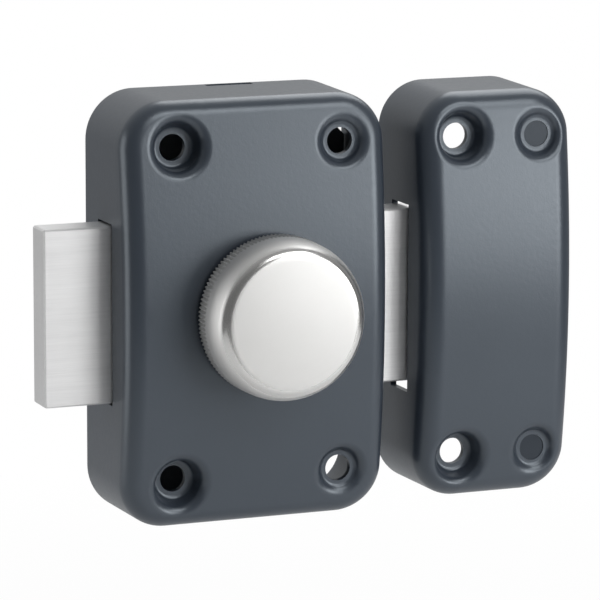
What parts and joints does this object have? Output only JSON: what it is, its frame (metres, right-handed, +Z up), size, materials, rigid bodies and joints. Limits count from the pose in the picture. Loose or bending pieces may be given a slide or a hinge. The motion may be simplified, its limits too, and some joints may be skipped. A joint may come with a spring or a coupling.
{
  "type": "rim deadbolt",
  "caption": "Surface-mounted deadbolt with a turn knob, a flat sliding bolt that runs through a pressed steel case, and a matching keeper.",
  "frame": {"origin": "middle of the lock case's outline, on the plane of the door's face", "axes": "+X along the bolt towards the keeper, +Y into the door, +Z up, so the knob points along -Y into the room"},
  "size_m": [0.1292, 0.042, 0.1],
  "materials": {
    "case_paint": "satin powder coat, dark blue grey",
    "plug_paint": "satin powder coat, dark blue grey",
    "bolt_steel": "bright steel, ground along its length",
    "satin_nickel": "satin nickel plate, turned",
    "zinc_steel": "zinc plated sheet steel",
    "screw_steel": "zinc plated",
    "spring_steel": "hardened spring steel",
    "spindle_steel": "machined steel",
    "bearing_brass": "turned brass"
  },
  "bodies": {
    "root": {"lock_case": "case_paint", "case_pillars": "zinc_steel", "back_plate": "zinc_steel", "plate_screws": "screw_steel", "guide_screws": "screw_steel", "upper_guide": "zinc_steel", "lower_guide": "zinc_steel", "friction_spring": "spring_steel", "rear_bush": "bearing_brass", "front_bush": "bearing_brass", "keeper_case": "case_paint", "keeper_plugs": "plug_paint"},
    "knob": {"knob": "satin_nickel", "knob_grub_screw": "screw_steel", "pinion_shaft": "spindle_steel", "retaining_ring": "spring_steel", "thrust_washer": "bearing_brass", "knob_washer": "bearing_brass"},
    "bolt": {"bolt_bar": "bolt_steel", "rack_strip": "spindle_steel", "rack_rivets": "screw_steel"}
  },
  "joints": [
    {"name": "knob_turn", "type": "hinge", "parent": "root", "child": "knob", "pos_m": [0.0029, 0, 0], "axis": [0, -1, 0], "range_deg": [0, 360]},
    {"name": "bolt_slide", "type": "slide", "parent": "root", "child": "bolt", "axis": [-1, 0, 0], "range_m": [0, 0.02513]}
  ],
  "couplings": [
    {"joint": "bolt_slide", "follows": "knob_turn", "m_per_rad": 0.004}
  ]
}
